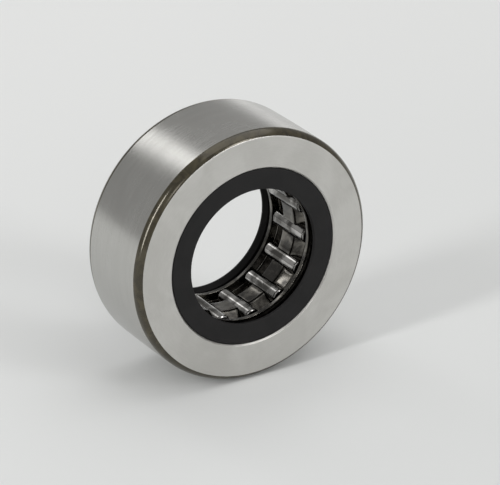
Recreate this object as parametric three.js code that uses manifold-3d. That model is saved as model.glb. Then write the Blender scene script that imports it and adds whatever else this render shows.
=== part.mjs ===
// A yoke type track roller (cam follower without an inner ring): a thick outer ring that rolls on a
// track, a needle roller and cage set inside it, and a rubber lip seal in each end.
// Millimetres, +Z up. The roller stands on its tread, its axis is the Y axis, and the origin is at
// its centre. The front side face looks along -Y.
import * as THREE from "three";
import { mergeVertices } from "three/addons/utils/BufferGeometryUtils.js";
import Module from "manifold-3d";

// Driving dimensions.
const OUTER_DIAMETER = 47;
const WIDTH = 17.8;
const SHAFT_DIAMETER = 25; // the circle inside the needles, which the shaft fills
const NEEDLE_DIAMETER = 3;
const NEEDLE_LENGTH = 9.8;
const NEEDLE_COUNT = 14;
const SEAL_SEAT_DIAMETER = 33;
const CAGE_WIDTH = 12.6;
const CAGE_PLAY = 0.2; // axial play at each end of the cage

// Details of the outer ring.
const CROWN_RADIUS = 500; // the tread is very slightly barrel shaped
const EDGE_ALONG = 1.6; // how far the rounded, unground corner runs along the tread
const EDGE_DOWN = 1.1; // how far it runs down the side face
const EDGE_RADIUS = 1.9;
const EDGE_FACETS = 4;
const SEAT_CHAMFER = 0.25;
const RACEWAY_CLEARANCE = 0.05; // radial, between needles and raceway

// Details of the seals.
const SEAL_RECESS = 0.2; // how far the seal's face lies below the ring's side face
const SEAL_SEAT_GAP = 0.04; // stands for the press fit
const BOND_GAP = 0.03; // between the rubber and the steel that it is bonded to
const LIP_GAP = 0.08; // between the lip and the shaft
const LIP_EDGE = 0.25;
const LIP_DEPTH = 1.2; // how thick the rubber is behind its outer face
const RUBBER_WALL = 0.55; // rubber around the stiffener's rim
const STIFFENER_SHEET = 0.6;
const STIFFENER_BORE_DIAMETER = 28;

// Details of the cage, which is pressed from sheet steel.
const SHEET = 0.75;
const CAGE_OUTER_RADIUS = 15.25;
const CAGE_INNER_RADIUS = 12.85;
const WAIST_HALF_LENGTH = 1.9; // the middle of each bar, which dips in towards the shaft
const SHOULDER_START = 3.3; // where a bar has climbed back to the outer radius
const POCKET_END_PLAY = 0.2;
const POCKET_SIDE_PLAY = 0.12;
const WINDOW_WIDTH = 2.3; // narrower than a needle, so that the bars hold it in

// Details of the needles, and the place of the first one.
const NEEDLE_EDGE = 0.25;
const FIRST_NEEDLE_ANGLE = -55; // degrees from +X towards +Z

// Facets around the axis, a multiple of the needle count so that every pocket is cut alike.
const RING_SEGMENTS = NEEDLE_COUNT * 5;
const HALF_FACET = Math.PI / RING_SEGMENTS; // turns every ring so that a facet, not an edge, is lowest
const NEEDLE_SEGMENTS = 16;

// Derived places.
const outerRadius = OUTER_DIAMETER / 2;
const halfWidth = WIDTH / 2;
const shaftRadius = SHAFT_DIAMETER / 2;
const needleRadius = NEEDLE_DIAMETER / 2;
const pitchRadius = shaftRadius + needleRadius;
const racewayRadius = shaftRadius + NEEDLE_DIAMETER + RACEWAY_CLEARANCE;
const seatRadius = SEAL_SEAT_DIAMETER / 2;
const cageHalfWidth = CAGE_WIDTH / 2;
const shoulderPlace = cageHalfWidth + CAGE_PLAY; // half the raceway's length
const sealFacePlace = halfWidth - SEAL_RECESS;
const needlePitch = THREE.MathUtils.degToRad(360 / NEEDLE_COUNT);
const firstAngle = THREE.MathUtils.degToRad(FIRST_NEEDLE_ANGLE);

const finishes = {
  groundSteel: new THREE.MeshStandardMaterial({ color: 0xb4b3ae, roughness: 0.32, metalness: 1 }),
  needleSteel: new THREE.MeshStandardMaterial({ color: 0xc6c5c2, roughness: 0.15, metalness: 1 }),
  cageSteel: new THREE.MeshStandardMaterial({ color: 0x77736c, roughness: 0.38, metalness: 1 }),
  sealRubber: new THREE.MeshStandardMaterial({ color: 0x19191a, roughness: 0.6, metalness: 0 }),
  stiffenerSteel: new THREE.MeshStandardMaterial({ color: 0x8a8883, roughness: 0.45, metalness: 1 }),
};

const wasm = await Module();
wasm.setup();

const roller = new THREE.Group();

function addPiece(name, geometry, finish) {
  const mesh = new THREE.Mesh(geometry, finish);
  mesh.name = name;
  roller.add(mesh);
  return mesh;
}

// A ring around the Y axis. The profile is a list of [radius, place along the axis] pairs that goes
// round the section with the outside on its right hand, and is closed here.
function ringGeometry(profile) {
  const points = profile.map(([radius, along]) => new THREE.Vector2(radius, along));
  points.push(points[0].clone());
  return new THREE.LatheGeometry(points, RING_SEGMENTS, HALF_FACET);
}

// The same profile at the other end of the roller, still going round the same way.
function mirrored(profile) {
  return profile.map(([radius, along]) => [radius, -along]).reverse();
}

function toManifold(geometry) {
  const bare = new THREE.BufferGeometry();
  bare.setAttribute("position", geometry.getAttribute("position"));
  bare.setIndex(geometry.index);
  const merged = mergeVertices(bare, 1e-4);
  return new wasm.Manifold(
    new wasm.Mesh({
      numProp: 3,
      vertProperties: merged.attributes.position.array,
      triVerts: new Uint32Array(merged.index.array),
    }),
  );
}

function fromManifold(solid) {
  const { vertProperties, triVerts } = solid.getMesh();
  const geometry = new THREE.BufferGeometry();
  geometry.setAttribute("position", new THREE.BufferAttribute(vertProperties, 3));
  geometry.setIndex(new THREE.BufferAttribute(triVerts, 1));
  return geometry;
}

// Where needle number i lies, as [angle, x, z].
function needlePlace(i) {
  const angle = firstAngle + i * needlePitch;
  return [angle, pitchRadius * Math.cos(angle), pitchRadius * Math.sin(angle)];
}

// The front corner between the side face and the tread, as an arc that meets both at a slight angle.
function roundedCorner(faceEnd, treadEnd) {
  const chord = treadEnd.clone().sub(faceEnd);
  const toCentre = Math.sqrt(EDGE_RADIUS ** 2 - chord.lengthSq() / 4);
  const inward = new THREE.Vector2(-chord.y, chord.x).normalize();
  const centre = faceEnd.clone().lerp(treadEnd, 0.5).addScaledVector(inward, toCentre);
  const start = faceEnd.clone().sub(centre).angle();
  const end = treadEnd.clone().sub(centre).angle();
  const arc = new THREE.EllipseCurve(centre.x, centre.y, EDGE_RADIUS, EDGE_RADIUS, start, end);
  return arc.getPoints(EDGE_FACETS).map((point) => [point.x, point.y]);
}

// The outer ring: crowned tread, rounded corners, a raceway for the needles, and a seat for a seal
// in each end.
function outerRingProfile() {
  const treadEnd = halfWidth - EDGE_ALONG;
  const crowned = (along) => outerRadius - CROWN_RADIUS + Math.sqrt(CROWN_RADIUS ** 2 - along ** 2);
  const shares = [-0.6, -0.2, 0.2, 0.6]; // with a flat band in the middle to stand on
  const tread = shares.map((share) => [crowned(share * treadEnd), share * treadEnd]);
  const frontEnd = [
    [racewayRadius, -shoulderPlace],
    [seatRadius, -shoulderPlace],
    [seatRadius, -halfWidth + SEAT_CHAMFER],
    [seatRadius + SEAT_CHAMFER, -halfWidth],
    ...roundedCorner(
      new THREE.Vector2(outerRadius - EDGE_DOWN, -halfWidth),
      new THREE.Vector2(crowned(treadEnd), -treadEnd),
    ),
  ];
  return [...frontEnd, ...tread, ...mirrored(frontEnd)];
}

// The rear seal's rubber: a flat outer face, a lip that leans out towards the shaft, and a skirt
// that grips the seat around the stiffener.
function sealProfile() {
  const rim = seatRadius - SEAL_SEAT_GAP;
  const lip = shaftRadius + LIP_GAP;
  const floor = sealFacePlace - LIP_DEPTH;
  const skirtEnd = shoulderPlace + SEAL_SEAT_GAP;
  return [
    [rim - RUBBER_WALL, skirtEnd],
    [rim, skirtEnd],
    [rim, sealFacePlace - LIP_EDGE],
    [rim - LIP_EDGE, sealFacePlace],
    [lip + LIP_EDGE, sealFacePlace],
    [lip, sealFacePlace - LIP_EDGE],
    [lip, sealFacePlace - 2 * LIP_EDGE],
    [lip + LIP_DEPTH - 2 * LIP_EDGE, floor],
    [rim - RUBBER_WALL, floor],
  ];
}

// The rear seal's stiffener: a sheet steel washer with a turned rim, bonded into the rubber.
function stiffenerProfile() {
  const rim = seatRadius - SEAL_SEAT_GAP - RUBBER_WALL - BOND_GAP;
  const washerTop = sealFacePlace - LIP_DEPTH - BOND_GAP;
  const rimEnd = shoulderPlace + SEAL_SEAT_GAP;
  return [
    [rim - STIFFENER_SHEET, rimEnd],
    [rim, rimEnd],
    [rim, washerTop],
    [STIFFENER_BORE_DIAMETER / 2, washerTop],
    [STIFFENER_BORE_DIAMETER / 2, washerTop - STIFFENER_SHEET],
    [rim - STIFFENER_SHEET, washerTop - STIFFENER_SHEET],
  ];
}

// The cage's section is an M: turned-in rims, and bars whose waist dips in towards the shaft.
function cageProfile() {
  const bend = SHEET * 0.35; // keeps the sloping part as thick as the rest
  const outside = [
    [CAGE_INNER_RADIUS, -cageHalfWidth],
    [CAGE_OUTER_RADIUS, -cageHalfWidth],
    [CAGE_OUTER_RADIUS, -SHOULDER_START],
    [CAGE_INNER_RADIUS + SHEET, -WAIST_HALF_LENGTH],
  ];
  const inside = [
    [CAGE_INNER_RADIUS, -WAIST_HALF_LENGTH + bend],
    [CAGE_OUTER_RADIUS - SHEET, -SHOULDER_START + bend],
    [CAGE_OUTER_RADIUS - SHEET, -cageHalfWidth + SHEET],
    [CAGE_INNER_RADIUS, -cageHalfWidth + SHEET],
  ];
  return [...outside, ...mirrored(outside), ...mirrored(inside), ...inside];
}

// One pocket: a round seat a little larger than a needle, and a narrower window right through.
function pocketCutter(i) {
  const [angle, x, z] = needlePlace(i);
  const length = NEEDLE_LENGTH + 2 * POCKET_END_PLAY;
  const seat = new THREE.CylinderGeometry(
    needleRadius + POCKET_SIDE_PLAY,
    needleRadius + POCKET_SIDE_PLAY,
    length,
    NEEDLE_SEGMENTS,
  );
  seat.rotateY(-angle);
  seat.translate(x, 0, z);
  const window = new THREE.BoxGeometry(2 * NEEDLE_DIAMETER, length, WINDOW_WIDTH);
  window.rotateY(-angle);
  window.translate(x, 0, z);
  return toManifold(seat).add(toManifold(window));
}

function cageGeometry() {
  let cage = toManifold(ringGeometry(cageProfile()));
  for (let i = 0; i < NEEDLE_COUNT; i++) cage = cage.subtract(pocketCutter(i));
  return fromManifold(cage);
}

function needleGeometry() {
  const end = NEEDLE_LENGTH / 2;
  const profile = [
    [0, -end],
    [needleRadius - NEEDLE_EDGE, -end],
    [needleRadius, -end + NEEDLE_EDGE],
    [needleRadius, end - NEEDLE_EDGE],
    [needleRadius - NEEDLE_EDGE, end],
    [0, end],
  ];
  const points = profile.map(([radius, along]) => new THREE.Vector2(radius, along));
  return new THREE.LatheGeometry(points, NEEDLE_SEGMENTS);
}

addPiece("outer_ring", ringGeometry(outerRingProfile()), finishes.groundSteel);
addPiece("rear_seal", ringGeometry(sealProfile()), finishes.sealRubber);
addPiece("front_seal", ringGeometry(mirrored(sealProfile())), finishes.sealRubber);
addPiece("rear_seal_stiffener", ringGeometry(stiffenerProfile()), finishes.stiffenerSteel);
addPiece("front_seal_stiffener", ringGeometry(mirrored(stiffenerProfile())), finishes.stiffenerSteel);
addPiece("needle_cage", cageGeometry(), finishes.cageSteel);
for (let i = 0; i < NEEDLE_COUNT; i++) {
  const [angle, x, z] = needlePlace(i);
  const name = "needle_" + String(i + 1).padStart(2, "0");
  const needle = addPiece(name, needleGeometry(), finishes.needleSteel);
  needle.position.set(x, 0, z);
  needle.rotation.y = -angle;
}

export default roller;
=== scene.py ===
import math

import bmesh
import bpy
from mathutils import Matrix, Vector


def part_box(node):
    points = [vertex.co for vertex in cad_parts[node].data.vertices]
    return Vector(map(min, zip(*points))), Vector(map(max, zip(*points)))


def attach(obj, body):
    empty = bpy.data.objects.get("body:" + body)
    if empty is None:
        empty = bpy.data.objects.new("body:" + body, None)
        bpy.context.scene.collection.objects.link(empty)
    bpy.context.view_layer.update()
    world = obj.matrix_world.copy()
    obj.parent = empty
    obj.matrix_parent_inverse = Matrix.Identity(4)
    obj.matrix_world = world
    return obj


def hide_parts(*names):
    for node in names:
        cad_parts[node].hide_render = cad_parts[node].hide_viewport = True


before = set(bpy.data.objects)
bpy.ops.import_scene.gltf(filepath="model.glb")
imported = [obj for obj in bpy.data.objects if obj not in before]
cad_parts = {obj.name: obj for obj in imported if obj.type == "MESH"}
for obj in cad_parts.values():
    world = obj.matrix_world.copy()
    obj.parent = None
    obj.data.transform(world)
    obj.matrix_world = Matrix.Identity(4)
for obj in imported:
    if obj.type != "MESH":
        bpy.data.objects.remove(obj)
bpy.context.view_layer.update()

MM = 0.001
NEEDLE_COUNT = 14

# Main sizes, from the frame's nodes.
ring_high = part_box("outer_ring")[1]
seal_low, seal_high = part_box("rear_seal")
cage_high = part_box("needle_cage")[1]
first_low, first_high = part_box("needle_01")
OUTER_RADIUS = ring_high.x
HALF_WIDTH = ring_high.y
SEAL_RIM_RADIUS = seal_high.x
SEAL_FACE = seal_high.y
SEAL_SKIRT_END = seal_low.y
CAGE_HALF_WIDTH = cage_high.y
NEEDLE_HALF_LENGTH = first_high.y
FIRST_NEEDLE = (first_low + first_high) / 2
PITCH_RADIUS = math.hypot(FIRST_NEEDLE.x, FIRST_NEEDLE.z)
FIRST_ANGLE = math.atan2(FIRST_NEEDLE.z, FIRST_NEEDLE.x)
NEEDLE_PITCH = 2 * math.pi / NEEDLE_COUNT

# The needles' details.
NEEDLE_RADIUS = 1.5 * MM
NEEDLE_CORNER = 0.4 * MM

# The ring's details. Each rounded outer corner reaches EDGE_ALONG along the tread and EDGE_DOWN down the
# side face, and meets both at a slight break. The crown's shares are of half the tread's width.
CROWN_RADIUS = 500 * MM
CROWN_SHARES = (-0.85, -0.7, -0.5, -0.3, -0.1, 0.1, 0.3, 0.5, 0.7, 0.85)
EDGE_ALONG = 1.6 * MM
EDGE_DOWN = 1.1 * MM
EDGE_RADIUS = 1.9 * MM
EDGE_STEPS = 10
TREAD_BREAK = 0.25 * MM
FACE_BREAK = 0.7 * MM
SEAT_CHAMFER = 0.25 * MM
SEAL_GAP = 0.04 * MM
SEAT_RADIUS = SEAL_RIM_RADIUS + SEAL_GAP
NEEDLE_CLEARANCE = 0.05 * MM
RACEWAY_RADIUS = PITCH_RADIUS + NEEDLE_RADIUS + NEEDLE_CLEARANCE
SMALL_CORNER = 0.08 * MM

# The seals' details.
LIP_RADIUS = 12.58 * MM
LIP_DEPTH = 1.2 * MM
LIP_LAND = 0.5 * MM
SEAL_CORNER = 0.22 * MM
RUBBER_WALL = 0.55 * MM
BOND_GAP = 0.03 * MM
STIFFENER_SHEET = 0.6 * MM
STIFFENER_BORE = 14 * MM

# The cage's details: one sheet, pressed to an M section. The pocket corner's shares say where the sheet
# is cut across each rounded corner, from the pocket's end inwards.
SHEET = 0.75 * MM
CAGE_OUTER_RADIUS = 15.25 * MM
CAGE_INNER_RADIUS = 12.85 * MM
SHOULDER_RADIUS = CAGE_OUTER_RADIUS - SHEET / 2
WAIST_RADIUS = CAGE_INNER_RADIUS + SHEET / 2
SLOPE_OUTER_END = 3.17 * MM
SLOPE_INNER_END = 1.77 * MM
SHEET_BEND = 0.65 * MM
POCKET_HALF_LENGTH = 5.1 * MM
POCKET_SEAT_RADIUS = 1.62 * MM
WINDOW_HALF_WIDTH = 1.15 * MM
POCKET_CORNER = 0.3 * MM
POCKET_CORNER_SHARES = (0, 0.15, 0.45, 1)
TUMBLED_EDGE = 0.06 * MM
SHARP_ANGLE = math.radians(50)
STATION_STEP = 0.25 * MM
POCKET_CELLS = 4
BAR_CELLS = 6
SHEET_LAYERS = 4

# How finely the meshes are cut, and how they are cleaned.
RING_STEPS = 360
NEEDLE_STEPS = 72
ARC_STEPS = 5
WELD_DISTANCE = 1e-5 * MM
FLAT_FACE_WEIGHT = 80

# The camera: azimuth 0 looks along +Y, and a negative azimuth stands to the left.
CAMERA_AZIMUTH = math.radians(-32.1)
CAMERA_ELEVATION = math.radians(25.08)
CAMERA_DISTANCE = 607.9 * MM
CAMERA_AIM = Vector((-0.04, -7.58, 2.34)) * MM
CAMERA_CLIP_START = 10 * MM
CAMERA_LENS = 252.0
SENSOR_WIDTH = 36.0

FLOOR_SIZE = 6.0


# ---------------------------------------------------------------- sections and meshes

def rounded(corners, closed=True):
    """The points of a section, with an arc at each (radius, along, fillet) corner that has a fillet."""
    points = []
    for i, (radius, along, fillet) in enumerate(corners):
        here = Vector((radius, along))
        at_end = not closed and i in (0, len(corners) - 1)
        if fillet == 0 or at_end:
            points.append(here)
            continue
        back = (Vector(corners[i - 1][:2]) - here).normalized()
        ahead = (Vector(corners[(i + 1) % len(corners)][:2]) - here).normalized()
        half_angle = back.angle(ahead) / 2
        centre = here + (back + ahead).normalized() * (fillet / math.sin(half_angle))
        start = here + back * (fillet / math.tan(half_angle)) - centre
        sweep = math.pi - 2 * half_angle
        if back.x * ahead.y - back.y * ahead.x > 0:
            sweep = -sweep
        for step in range(ARC_STEPS + 1):
            turn = Matrix.Rotation(sweep * step / ARC_STEPS, 2)
            points.append(centre + turn @ start)
    return points


def mirrored(corners):
    """The same corners at the other end of the roller, still going round the same way."""
    return [(radius, -along, *rest) for radius, along, *rest in reversed(corners)]


def split_long(points, longest):
    """The same open path with its long stretches cut into equal steps."""
    fine = [points[0]]
    for before, after in zip(points, points[1:]):
        steps = max(1, math.ceil((after - before).length / longest))
        fine += [before.lerp(after, step / steps) for step in range(1, steps + 1)]
    return fine


def clean_mesh(name, vertices, faces, zones=None):
    """A mesh with merged poles and outward normals. Zones give each face its material's index."""
    mesh = bpy.data.meshes.new(name)
    mesh.from_pydata(vertices, [], faces)
    if zones:
        mesh.polygons.foreach_set("material_index", zones)
    work = bmesh.new()
    work.from_mesh(mesh)
    bmesh.ops.remove_doubles(work, verts=work.verts, dist=WELD_DISTANCE)
    bmesh.ops.recalc_face_normals(work, faces=work.faces)
    work.to_mesh(mesh)
    work.free()
    mesh.shade_smooth()
    return mesh


def lathe(name, section, steps=RING_STEPS, closed=True, zones=None):
    """The section turned around the Y axis. Zones give a material's index for each stretch of it."""
    count = len(section)
    vertices = []
    for step in range(steps):
        angle = 2 * math.pi * step / steps
        vertices += [(r * math.cos(angle), y, r * math.sin(angle)) for r, y in section]
    faces = []
    face_zones = []
    for step in range(steps):
        here = step * count
        ahead = (step + 1) % steps * count
        for i in range(count if closed else count - 1):
            j = (i + 1) % count
            faces.append((here + i, here + j, ahead + j, ahead + i))
            face_zones.append(zones[i] if zones else 0)
    return clean_mesh(name, vertices, faces, face_zones)


def add_piece(name, mesh, materials, body, slot, *nodes):
    """Puts a mesh in the scene for the CAD nodes that it stands for."""
    piece = bpy.data.objects.new(name, mesh)
    bpy.context.scene.collection.objects.link(piece)
    for material in materials:
        mesh.materials.append(material)
    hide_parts(*nodes)
    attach(piece, body)
    return piece


def weigh_normals(piece):
    """Keeps flat faces flat next to their rounded edges."""
    modifier = piece.modifiers.new("flat_faces", "WEIGHTED_NORMAL")
    modifier.weight = FLAT_FACE_WEIGHT
    modifier.keep_sharp = False


# ---------------------------------------------------------------- materials

class Shader:
    """A new material, with short names for the nodes that the finishes share."""

    def __init__(self, name):
        self.material = bpy.data.materials.new(name)
        self.material.use_nodes = True
        self.tree = self.material.node_tree
        self.surface = self.tree.nodes["Principled BSDF"]
        self.place = self.add("ShaderNodeTexCoord").outputs["Object"]

    def add(self, kind, **settings):
        node = self.tree.nodes.new(kind)
        for name, value in settings.items():
            setattr(node, name, value)
        return node

    def feed(self, socket, value):
        """Links an output to a socket, or sets the socket's own value."""
        if isinstance(value, bpy.types.NodeSocket):
            self.tree.links.new(value, socket)
        else:
            socket.default_value = value

    def set(self, **values):
        """Sets the surface's sockets, where a low line stands for a space in the socket's name."""
        for name, value in values.items():
            self.feed(self.surface.inputs[name.replace("_", " ")], value)

    def maths(self, operation, first, second=0.0):
        node = self.add("ShaderNodeMath", operation=operation)
        self.feed(node.inputs[0], first)
        self.feed(node.inputs[1], second)
        return node.outputs[0]

    def vector(self, operation, first, second=(0.0, 0.0, 0.0)):
        node = self.add("ShaderNodeVectorMath", operation=operation)
        self.feed(node.inputs[0], first)
        self.feed(node.inputs[1], second)
        return node.outputs["Value" if operation == "LENGTH" else "Vector"]

    def noise(self, place, scale=1.0, detail=3.0, distortion=0.0):
        node = self.add("ShaderNodeTexNoise")
        self.feed(node.inputs["Vector"], place)
        self.feed(node.inputs["Scale"], scale)
        self.feed(node.inputs["Detail"], detail)
        self.feed(node.inputs["Distortion"], distortion)
        return node.outputs[0]

    def total(self, first, *others):
        """The sum of the values."""
        for other in others:
            first = self.maths("ADD", first, other)
        return first

    def average(self, first, second, share):
        """The mean of two values, where share is the second one's weight."""
        return self.total(self.maths("MULTIPLY", first, 1 - share), self.maths("MULTIPLY", second, share))

    def spread(self, value, old_low, old_high, low=0.0, high=1.0):
        """The value, moved smoothly from the old range to the new one and held inside it.
        Noise keeps mostly between 0.3 and 0.7, so the old ranges of noise are near those."""
        node = self.add("ShaderNodeMapRange", interpolation_type="SMOOTHSTEP")
        for socket, number in zip(node.inputs, (value, old_low, old_high, low, high)):
            self.feed(socket, number)
        return node.outputs[0]

    def blend(self, share, first, second):
        """A colour between two others."""
        node = self.add("ShaderNodeMix", data_type="RGBA")
        colours = [socket for socket in node.inputs if socket.type == "RGBA"]
        self.feed(node.inputs[0], share)
        self.feed(colours[0], first)
        self.feed(colours[1], second)
        return [socket for socket in node.outputs if socket.type == "RGBA"][0]

    def bump(self, height, distance, strength):
        node = self.add("ShaderNodeBump")
        self.feed(node.inputs["Height"], height)
        self.feed(node.inputs["Distance"], distance)
        self.feed(node.inputs["Strength"], strength)
        return node.outputs[0]

    def off_axis(self):
        """The place, without its part along the roller's axis."""
        return self.vector("MULTIPLY", self.place, (1.0, 0.0, 1.0))

    def radius(self):
        """The distance from the roller's axis."""
        return self.vector("LENGTH", self.off_axis())

    def along(self):
        """The place along the roller's axis."""
        split = self.add("ShaderNodeSeparateXYZ")
        self.feed(split.inputs[0], self.place)
        return split.outputs["Y"]

    def lay(self, across, around):
        """Coordinates for marks that run around the roller's axis.
        Across is how many there are in a metre, and around sets how short they are."""
        heading = self.vector("NORMALIZE", self.off_axis())
        spun = self.vector("MULTIPLY", heading, (around, 0.0, around))
        join = self.add("ShaderNodeCombineXYZ")
        section = self.total(self.radius(), self.along())
        self.feed(join.inputs["Y"], self.maths("MULTIPLY", section, across))
        return self.vector("ADD", spun, join.outputs[0])


def colour(red, green, blue):
    """An opaque colour."""
    return (red, green, blue, 1.0)


def tread_steel():
    """Ground with the wheel running round the tread, so that it blurs reflections along the axis."""
    shader = Shader("tread_ground_steel")
    fine = shader.noise(shader.lay(across=16000.0, around=5.0), detail=4.0)
    broad = shader.noise(shader.lay(across=1500.0, around=2.5), detail=3.0)
    cloud = shader.noise(shader.place, scale=90.0, detail=4.0, distortion=0.6)
    tone = shader.average(broad, cloud, share=0.4)
    dull = colour(0.485, 0.48, 0.46)
    bright = colour(0.515, 0.51, 0.49)
    tangent = shader.add("ShaderNodeTangent", direction_type="RADIAL", axis="Y")
    shader.set(
        Base_Color=shader.blend(shader.spread(tone, 0.35, 0.65), dull, bright),
        Metallic=1.0,
        Roughness=shader.total(
            shader.spread(fine, 0.3, 0.7, low=0.22, high=0.26),
            shader.spread(cloud, 0.35, 0.7, low=-0.015, high=0.03),
        ),
        Anisotropic=0.55,
        Anisotropic_Rotation=0.25,
        Tangent=tangent.outputs[0],
        Normal=shader.bump(fine, distance=0.001 * MM, strength=0.25),
    )
    return shader.material


def face_steel():
    """Ground flat: fine rings around the axis, soft clouds and small specks."""
    shader = Shader("face_ground_steel")
    rings = shader.noise(shader.lay(across=11000.0, around=14.0), detail=4.0)
    cloud = shader.noise(shader.place, scale=120.0, detail=5.0, distortion=0.8)
    specks = shader.noise(shader.place, scale=5200.0, detail=2.0)
    tone = shader.average(rings, cloud, share=0.65)
    dull = colour(0.53, 0.52, 0.495)
    bright = colour(0.605, 0.595, 0.57)
    shader.set(
        Base_Color=shader.blend(shader.spread(tone, 0.35, 0.65), dull, bright),
        Metallic=1.0,
        Roughness=shader.total(
            shader.spread(rings, 0.3, 0.7, low=0.30, high=0.38),
            shader.spread(specks, 0.4, 0.7, low=0.0, high=0.05),
        ),
        Normal=shader.bump(shader.total(rings, specks), distance=0.002 * MM, strength=0.3),
    )
    return shader.material


def edge_oxide():
    """The dark, smooth scale of hardening, left on the rounded corners where the wheels don't reach.
    It wears through to bright steel in a thin, ragged line next to the face and the tread."""
    shader = Shader("hardening_scale")
    cloud = shader.noise(shader.place, scale=420.0, detail=5.0, distortion=1.2)
    marks = shader.noise(shader.lay(across=6500.0, around=10.0), detail=4.0)
    worn_width = 0.03 * MM
    worn_fade = 0.02 * MM
    from_face = shader.maths("SUBTRACT", HALF_WIDTH, shader.maths("ABSOLUTE", shader.along()))
    from_tread = shader.maths("SUBTRACT", EDGE_ALONG, from_face)
    from_edge = shader.maths("MINIMUM", from_face, from_tread)
    ragged = shader.maths("SUBTRACT", from_edge, shader.spread(cloud, 0.35, 0.7, high=worn_width))
    scale = shader.spread(ragged, 0.0, worn_fade)
    dark_brown = colour(0.020, 0.0175, 0.011)
    olive_brown = colour(0.045, 0.039, 0.023)
    bare_steel = colour(0.42, 0.40, 0.35)
    oxide = shader.blend(shader.spread(cloud, 0.35, 0.68), dark_brown, olive_brown)
    shader.set(
        Base_Color=shader.blend(scale, bare_steel, oxide),
        Metallic=shader.spread(scale, 0.0, 1.0, low=1.0, high=0.0),
        Roughness=shader.spread(marks, 0.3, 0.7, low=0.12, high=0.20),
        IOR=1.62,
        Specular_Tint=colour(1.0, 0.93, 0.80),
        Normal=shader.bump(shader.total(marks, cloud), distance=0.002 * MM, strength=0.3),
    )
    return shader.material


def needle_steel():
    """Lapped bright, with faint rings around each needle, under patches of dark grease."""
    shader = Shader("lapped_needle_steel")
    marks_in_a_metre = (600.0, 14000.0, 600.0)
    rings = shader.noise(shader.vector("MULTIPLY", shader.place, marks_in_a_metre), detail=4.0)
    patches = shader.noise(shader.place, scale=300.0, detail=5.0, distortion=0.5)
    grease = shader.spread(patches, 0.38, 0.62)
    clean = colour(0.50, 0.49, 0.475)
    greasy = colour(0.085, 0.081, 0.074)
    shader.set(
        Base_Color=shader.blend(grease, clean, greasy),
        Metallic=1.0,
        Roughness=shader.total(
            shader.spread(rings, 0.3, 0.7, low=0.07, high=0.13),
            shader.maths("MULTIPLY", grease, 0.10),
        ),
        Coat_Weight=0.35,
        Coat_Roughness=0.08,
        Normal=shader.bump(shader.total(rings, grease), distance=0.004 * MM, strength=0.35),
    )
    return shader.material


def cage_steel():
    """Pressed and tumbled sheet, darker than the needles and wet with grease."""
    shader = Shader("pressed_cage_steel")
    drawn = shader.noise(shader.lay(across=4200.0, around=60.0), detail=4.0)
    patches = shader.noise(shader.place, scale=380.0, detail=5.0, distortion=0.6)
    grease = shader.spread(patches, 0.36, 0.60)
    pits = shader.noise(shader.place, scale=7000.0, detail=2.0)
    clean = colour(0.155, 0.145, 0.127)
    greasy = colour(0.030, 0.027, 0.023)
    shader.set(
        Base_Color=shader.blend(grease, clean, greasy),
        Metallic=1.0,
        Roughness=shader.total(
            shader.spread(patches, 0.3, 0.7, low=0.13, high=0.26),
            shader.spread(pits, 0.4, 0.7, low=0.0, high=0.05),
        ),
        Coat_Weight=0.5,
        Coat_Roughness=0.10,
        Normal=shader.bump(shader.total(drawn, pits, grease), distance=0.008 * MM, strength=0.45),
    )
    return shader.material


def seal_rubber():
    """Moulded black rubber: a fine matte grain, with faint rings from the mould's turning."""
    shader = Shader("moulded_seal_rubber")
    grain = shader.noise(shader.place, scale=9000.0, detail=3.0)
    rings = shader.noise(shader.lay(across=5200.0, around=3.0), detail=3.0)
    cloud = shader.noise(shader.place, scale=260.0, detail=5.0, distortion=0.7)
    black = colour(0.006, 0.0056, 0.0058)
    dusty_black = colour(0.0105, 0.0098, 0.01)
    shader.set(
        Base_Color=shader.blend(shader.spread(cloud, 0.35, 0.68), black, dusty_black),
        Roughness=shader.total(
            shader.spread(cloud, 0.35, 0.7, low=0.50, high=0.60),
            shader.spread(grain, 0.35, 0.7, low=0.0, high=0.08),
        ),
        Specular_IOR_Level=0.25,
        Normal=shader.bump(shader.total(grain, rings), distance=0.008 * MM, strength=0.45),
    )
    return shader.material


def stiffener_steel():
    """Phosphated sheet steel, so that the rubber bonds to it."""
    shader = Shader("phosphated_stiffener_steel")
    crystals = shader.noise(shader.place, scale=6000.0, detail=4.0)
    cloud = shader.noise(shader.place, scale=350.0, detail=4.0)
    dark_grey = colour(0.16, 0.16, 0.155)
    grey = colour(0.24, 0.24, 0.235)
    shader.set(
        Base_Color=shader.blend(shader.spread(cloud, 0.35, 0.65), dark_grey, grey),
        Metallic=1.0,
        Roughness=shader.spread(crystals, 0.3, 0.7, low=0.45, high=0.62),
        Normal=shader.bump(crystals, distance=0.006 * MM, strength=0.5),
    )
    return shader.material


def floor_paper():
    """Pale matte paper with a faint tooth, painted a little lighter behind the roller than in front of it:
    a painted falloff of light, with painted shade on the near floor.
    """
    shader = Shader("pale_paper_painted_falloff")
    tooth = shader.noise(shader.place, scale=900.0, detail=4.0)
    cloud = shader.noise(shader.place, scale=4.0, detail=2.0)
    # Painted shade and light: the base colour darkens towards the front and lightens towards the back,
    # standing in for how the lamps' light falls off across the floor.
    depth = shader.total(shader.along(), shader.maths("MULTIPLY", cloud, 0.1))
    in_front = -0.10
    behind = 0.30
    pale = colour(0.705, 0.715, 0.71)
    painted_light_paler = colour(0.845, 0.85, 0.845)
    shader.set(
        Base_Color=shader.blend(shader.spread(depth, in_front, behind), pale, painted_light_paler),
        Roughness=shader.spread(tooth, 0.3, 0.7, low=0.85, high=0.95),
        Specular_IOR_Level=0.1,
        Normal=shader.bump(tooth, distance=0.01 * MM, strength=0.2),
    )
    return shader.material


# ---------------------------------------------------------------- the pieces

# The ring's finishes, in the order in which make_ring gives them.
TREAD, FACE, OXIDE = range(3)


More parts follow.
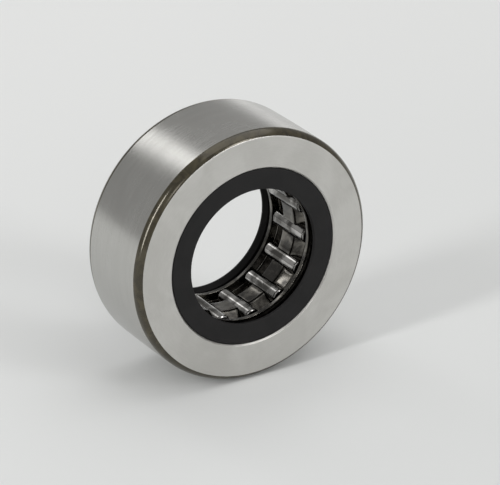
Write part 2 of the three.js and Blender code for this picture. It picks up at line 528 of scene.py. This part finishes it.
def edge_arc(face_end, tread_end):
    """The rounded, unground corner, as a fine arc that meets the face and the tread at slight breaks."""
    chord = tread_end - face_end
    inward = Vector((-chord.y, chord.x)).normalized()
    centre = (face_end + tread_end) / 2 + inward * math.sqrt(EDGE_RADIUS ** 2 - chord.length_squared / 4)
    spoke = face_end - centre
    sweep = 2 * math.asin(chord.length / (2 * EDGE_RADIUS))
    breaks = [FACE_BREAK, *[0] * (EDGE_STEPS - 1), TREAD_BREAK]
    arc = []
    for step, fillet in enumerate(breaks):
        here = centre + Matrix.Rotation(sweep * step / EDGE_STEPS, 2) @ spoke
        arc.append((here.x, here.y, fillet))
    return arc


def ring_section():
    """The ring's section, and the finish of the stretch that starts at each of its points."""
    tread_end = HALF_WIDTH - EDGE_ALONG
    tread_end_radius = OUTER_RADIUS - tread_end ** 2 / (2 * CROWN_RADIUS)
    shoulder = SEAL_SKIRT_END - SEAL_GAP
    front = [
        (RACEWAY_RADIUS, -shoulder, SMALL_CORNER),
        (SEAT_RADIUS, -shoulder, SMALL_CORNER),
        (SEAT_RADIUS, -HALF_WIDTH + SEAT_CHAMFER, SMALL_CORNER),
        (SEAT_RADIUS + SEAT_CHAMFER, -HALF_WIDTH, SMALL_CORNER),
        *edge_arc(Vector((OUTER_RADIUS - EDGE_DOWN, -HALF_WIDTH)), Vector((tread_end_radius, -tread_end))),
    ]
    crown = [
        (OUTER_RADIUS - (share * tread_end) ** 2 / (2 * CROWN_RADIUS), share * tread_end, 0)
        for share in CROWN_SHARES
    ]
    points = rounded([*front, *crown, *mirrored(front)])
    zones = []
    for i, here in enumerate(points):
        middle = (here + points[(i + 1) % len(points)]) / 2
        if middle.x <= OUTER_RADIUS - EDGE_DOWN:
            zones.append(FACE)
        elif abs(middle.y) > tread_end:
            zones.append(OXIDE)
        else:
            zones.append(TREAD)
    return points, zones


def make_ring():
    section, zones = ring_section()
    mesh = lathe("roller_ring", section, zones=zones)
    finishes = [tread_steel(), face_steel(), edge_oxide()]
    ring = add_piece("roller_ring", mesh, finishes, "outer_ring", "ground_steel", "outer_ring")
    weigh_normals(ring)


def seal_section():
    """The rear seal's rubber: flat outer face, leaning lip, and a skirt around the stiffener."""
    inside = SEAL_RIM_RADIUS - RUBBER_WALL
    floor = SEAL_FACE - LIP_DEPTH
    return [
        (inside, SEAL_SKIRT_END, SMALL_CORNER),
        (SEAL_RIM_RADIUS, SEAL_SKIRT_END, SMALL_CORNER),
        (SEAL_RIM_RADIUS, SEAL_FACE, SEAL_CORNER),
        (LIP_RADIUS, SEAL_FACE, SEAL_CORNER),
        (LIP_RADIUS, SEAL_FACE - LIP_LAND, SMALL_CORNER),
        (LIP_RADIUS + LIP_DEPTH - LIP_LAND, floor, SMALL_CORNER),
        (inside, floor, SMALL_CORNER),
    ]


def stiffener_section():
    """The rear seal's stiffener: a washer with a turned rim."""
    rim = SEAL_RIM_RADIUS - RUBBER_WALL - BOND_GAP
    top = SEAL_FACE - LIP_DEPTH - BOND_GAP
    return [
        (rim - STIFFENER_SHEET, SEAL_SKIRT_END, SMALL_CORNER),
        (rim, SEAL_SKIRT_END, SMALL_CORNER),
        (rim, top, SMALL_CORNER),
        (STIFFENER_BORE, top, SMALL_CORNER),
        (STIFFENER_BORE, top - STIFFENER_SHEET, SMALL_CORNER),
        (rim - STIFFENER_SHEET, top - STIFFENER_SHEET, SMALL_CORNER / 2),
    ]


def make_seals():
    rubber = seal_rubber()
    plate = stiffener_steel()
    for end, turned in (("rear", list), ("front", mirrored)):
        mesh = lathe(end + "_lip_seal", rounded(turned(seal_section())))
        seal = add_piece(
            end + "_lip_seal", mesh, [rubber], "outer_ring", "seal_rubber", end + "_seal"
        )
        weigh_normals(seal)
        mesh = lathe(end + "_stiffener", rounded(turned(stiffener_section())))
        stiffener = add_piece(
            end + "_stiffener", mesh, [plate], "outer_ring", "stiffener_steel", end + "_seal_stiffener"
        )
        weigh_normals(stiffener)


def cage_midline():
    """The middle of the cage's sheet from rim to rim, and the direction across the sheet at each point."""
    flange = CAGE_HALF_WIDTH - SHEET / 2
    pocket_end = [
        (SHOULDER_RADIUS, -POCKET_HALF_LENGTH + POCKET_CORNER * share, 0)
        for share in POCKET_CORNER_SHARES
    ]
    front = [
        (CAGE_INNER_RADIUS, -flange, 0),
        (SHOULDER_RADIUS, -flange, SHEET_BEND),
        *pocket_end,
        (SHOULDER_RADIUS, -SLOPE_OUTER_END, SHEET_BEND),
        (WAIST_RADIUS, -SLOPE_INNER_END, SHEET_BEND),
    ]
    path = split_long(rounded([*front, *mirrored(front)], closed=False), STATION_STEP)
    stations = []
    for i, here in enumerate(path):
        step = path[min(i + 1, len(path) - 1)] - path[max(i - 1, 0)]
        stations.append((here, Vector((step.y, -step.x)).normalized()))
    return stations


def pocket_half_angle(radius, along):
    """Half the pocket's opening as seen from the axis. It clears the needle, it is never narrower than
    the window, and only its rounded corners come further in."""
    from_axis = (radius ** 2 + PITCH_RADIUS ** 2 - POCKET_SEAT_RADIUS ** 2) / (2 * PITCH_RADIUS)
    seat = math.acos(min(1.0, from_axis / radius))
    window = math.asin(WINDOW_HALF_WIDTH / radius)
    short_of_end = min(max(POCKET_HALF_LENGTH - abs(along), 0.0), POCKET_CORNER)
    fill = POCKET_CORNER - math.sqrt(POCKET_CORNER ** 2 - (POCKET_CORNER - short_of_end) ** 2)
    return max(seat, window) - fill / radius


def cage_mesh():
    """The cage as a grid of small cells (along the sheet, around the axis, through the sheet).
    The cells in the pockets are left out, and the skin of the rest is the mesh."""
    stations = cage_midline()
    per_pitch = POCKET_CELLS + BAR_CELLS
    columns = per_pitch * NEEDLE_COUNT
    vertices = []
    index = {}

    def vertex(station, column, layer):
        key = (station, column % columns, layer)
        if key not in index:
            place, across = stations[station]
            radius, along = place + across * SHEET * (layer / SHEET_LAYERS - 0.5)
            sector, step = divmod(key[1], per_pitch)
            half = pocket_half_angle(radius, along)
            if step <= POCKET_CELLS:
                offset = half * (2 * step / POCKET_CELLS - 1)
            else:
                offset = half + (NEEDLE_PITCH - 2 * half) * (step - POCKET_CELLS) / BAR_CELLS
            angle = FIRST_ANGLE + sector * NEEDLE_PITCH + offset
            index[key] = len(vertices)
            vertices.append((radius * math.cos(angle), along, radius * math.sin(angle)))
        return index[key]

    def solid(station, column, layer):
        if not (0 <= station < len(stations) - 1 and 0 <= layer < SHEET_LAYERS):
            return False
        middle = (stations[station][0].y + stations[station + 1][0].y) / 2
        in_pocket = abs(middle) < POCKET_HALF_LENGTH and column % per_pitch < POCKET_CELLS
        return not in_pocket

    # The six sides of a cell: the neighbour behind each, and the side's corners.
    sides = [
        ((-1, 0, 0), [(0, 0, 0), (0, 0, 1), (0, 1, 1), (0, 1, 0)]),
        ((1, 0, 0), [(1, 0, 0), (1, 1, 0), (1, 1, 1), (1, 0, 1)]),
        ((0, -1, 0), [(0, 0, 0), (1, 0, 0), (1, 0, 1), (0, 0, 1)]),
        ((0, 1, 0), [(0, 1, 0), (0, 1, 1), (1, 1, 1), (1, 1, 0)]),
        ((0, 0, -1), [(0, 0, 0), (0, 1, 0), (1, 1, 0), (1, 0, 0)]),
        ((0, 0, 1), [(0, 0, 1), (1, 0, 1), (1, 1, 1), (0, 1, 1)]),
    ]
    faces = []
    for station in range(len(stations) - 1):
        for column in range(columns):
            for layer in range(SHEET_LAYERS):
                if not solid(station, column, layer):
                    continue
                for (ds, dc, dl), corners in sides:
                    if not solid(station + ds, column + dc, layer + dl):
                        faces.append([vertex(station + s, column + c, layer + k) for s, c, k in corners])
    return clean_mesh("pressed_cage", vertices, faces)


def make_cage():
    cage = add_piece("pressed_cage", cage_mesh(), [cage_steel()], "cage", "cage_steel", "needle_cage")
    edges = cage.modifiers.new("tumbled_edges", "BEVEL")
    edges.width = TUMBLED_EDGE
    edges.segments = 2
    edges.limit_method = "ANGLE"
    edges.angle_limit = SHARP_ANGLE
    weigh_normals(cage)


def make_needles():
    steel = needle_steel()
    end = NEEDLE_HALF_LENGTH
    section = rounded(
        [
            (0.0, -end, 0),
            (NEEDLE_RADIUS, -end, NEEDLE_CORNER),
            (NEEDLE_RADIUS, end, NEEDLE_CORNER),
            (0.0, end, 0),
        ],
        closed=False,
    )
    for i in range(NEEDLE_COUNT):
        number = f"{i + 1:02d}"
        angle = FIRST_ANGLE + i * NEEDLE_PITCH
        mesh = lathe("lapped_needle_" + number, section, NEEDLE_STEPS, closed=False)
        place = Vector((math.cos(angle), 0.0, math.sin(angle))) * PITCH_RADIUS
        mesh.transform(Matrix.Translation(place))
        body = "needle_" + number
        needle = add_piece("lapped_needle_" + number, mesh, [steel], body, "needle_steel", body)
        weigh_normals(needle)


# ---------------------------------------------------------------- the stage

def make_floor():
    half = FLOOR_SIZE / 2
    level = -OUTER_RADIUS
    mesh = bpy.data.meshes.new("floor")
    corners = [(-half, -half, level), (half, -half, level), (half, half, level), (-half, half, level)]
    mesh.from_pydata(corners, [], [(0, 1, 2, 3)])
    mesh.materials.append(floor_paper())
    floor = bpy.data.objects.new("floor", mesh)
    bpy.context.scene.collection.objects.link(floor)


def softbox(name, direction, distance, width, length, radiance):
    """A flat light that faces the roller. Its power grows with its area, so radiance alone sets how
    bright it looks in a mirror."""
    data = bpy.data.lights.new(name, "AREA")
    data.shape = "RECTANGLE"
    data.size = width
    data.size_y = length
    data.energy = math.pi * width * length * radiance
    light = bpy.data.objects.new(name, data)
    light.location = Vector(direction).normalized() * distance
    light.rotation_euler = (-light.location).to_track_quat("-Z", "Y").to_euler()
    light.visible_camera = False
    bpy.context.scene.collection.objects.link(light)


def make_lights():
    softbox("back_strip", (-0.146, 0.772, 0.618), distance=1.5, width=0.29, length=0.80, radiance=1.55)
    softbox("overhead_box", (0.30, -0.01, 1.0), distance=1.8, width=2.5, length=1.8, radiance=1.02)
    softbox("left_box", (-0.90, -0.12, 0.38), distance=1.3, width=0.18, length=0.98, radiance=13.0)
    softbox("right_card", (0.62, 0.77, 0.06), distance=1.5, width=0.8, length=0.36, radiance=0.78)
    softbox("front_lamp", (0.40, -0.87, 0.36), distance=1.2, width=0.26, length=0.86, radiance=6.0)
    softbox("near_lamp", (-0.40, -0.78, 0.48), distance=1.2, width=0.24, length=0.24, radiance=3.5)


def make_world():
    """A dim grey room, which the camera sees as pale as the floor."""
    world = bpy.data.worlds.new("studio")
    world.use_nodes = True
    nodes = world.node_tree.nodes
    links = world.node_tree.links
    dim_grey = colour(0.36, 0.36, 0.355)
    pale_grey = colour(0.70, 0.71, 0.705)
    room = nodes["Background"]
    room.inputs["Color"].default_value = dim_grey
    seen = nodes.new("ShaderNodeBackground")
    seen.inputs["Color"].default_value = pale_grey
    ray = nodes.new("ShaderNodeLightPath")
    mix = nodes.new("ShaderNodeMixShader")
    links.new(ray.outputs["Is Camera Ray"], mix.inputs[0])
    links.new(room.outputs[0], mix.inputs[1])
    links.new(seen.outputs[0], mix.inputs[2])
    links.new(mix.outputs[0], nodes["World Output"].inputs["Surface"])
    bpy.context.scene.world = world


def make_camera():
    data = bpy.data.cameras.new("camera")
    data.lens = CAMERA_LENS
    data.sensor_width = SENSOR_WIDTH
    data.clip_start = CAMERA_CLIP_START
    camera = bpy.data.objects.new("camera", data)
    level = math.cos(CAMERA_ELEVATION)
    back = Vector(
        (
            math.sin(CAMERA_AZIMUTH) * level,
            -math.cos(CAMERA_AZIMUTH) * level,
            math.sin(CAMERA_ELEVATION),
        )
    )
    camera.location = CAMERA_AIM + back * CAMERA_DISTANCE
    camera.rotation_euler = back.to_track_quat("Z", "Y").to_euler()
    bpy.context.scene.collection.objects.link(camera)
    bpy.context.scene.camera = camera


make_camera()
make_world()
make_lights()
make_floor()
make_ring()
make_seals()
make_cage()
make_needles()
bpy.context.scene.view_settings.view_transform = "Standard"
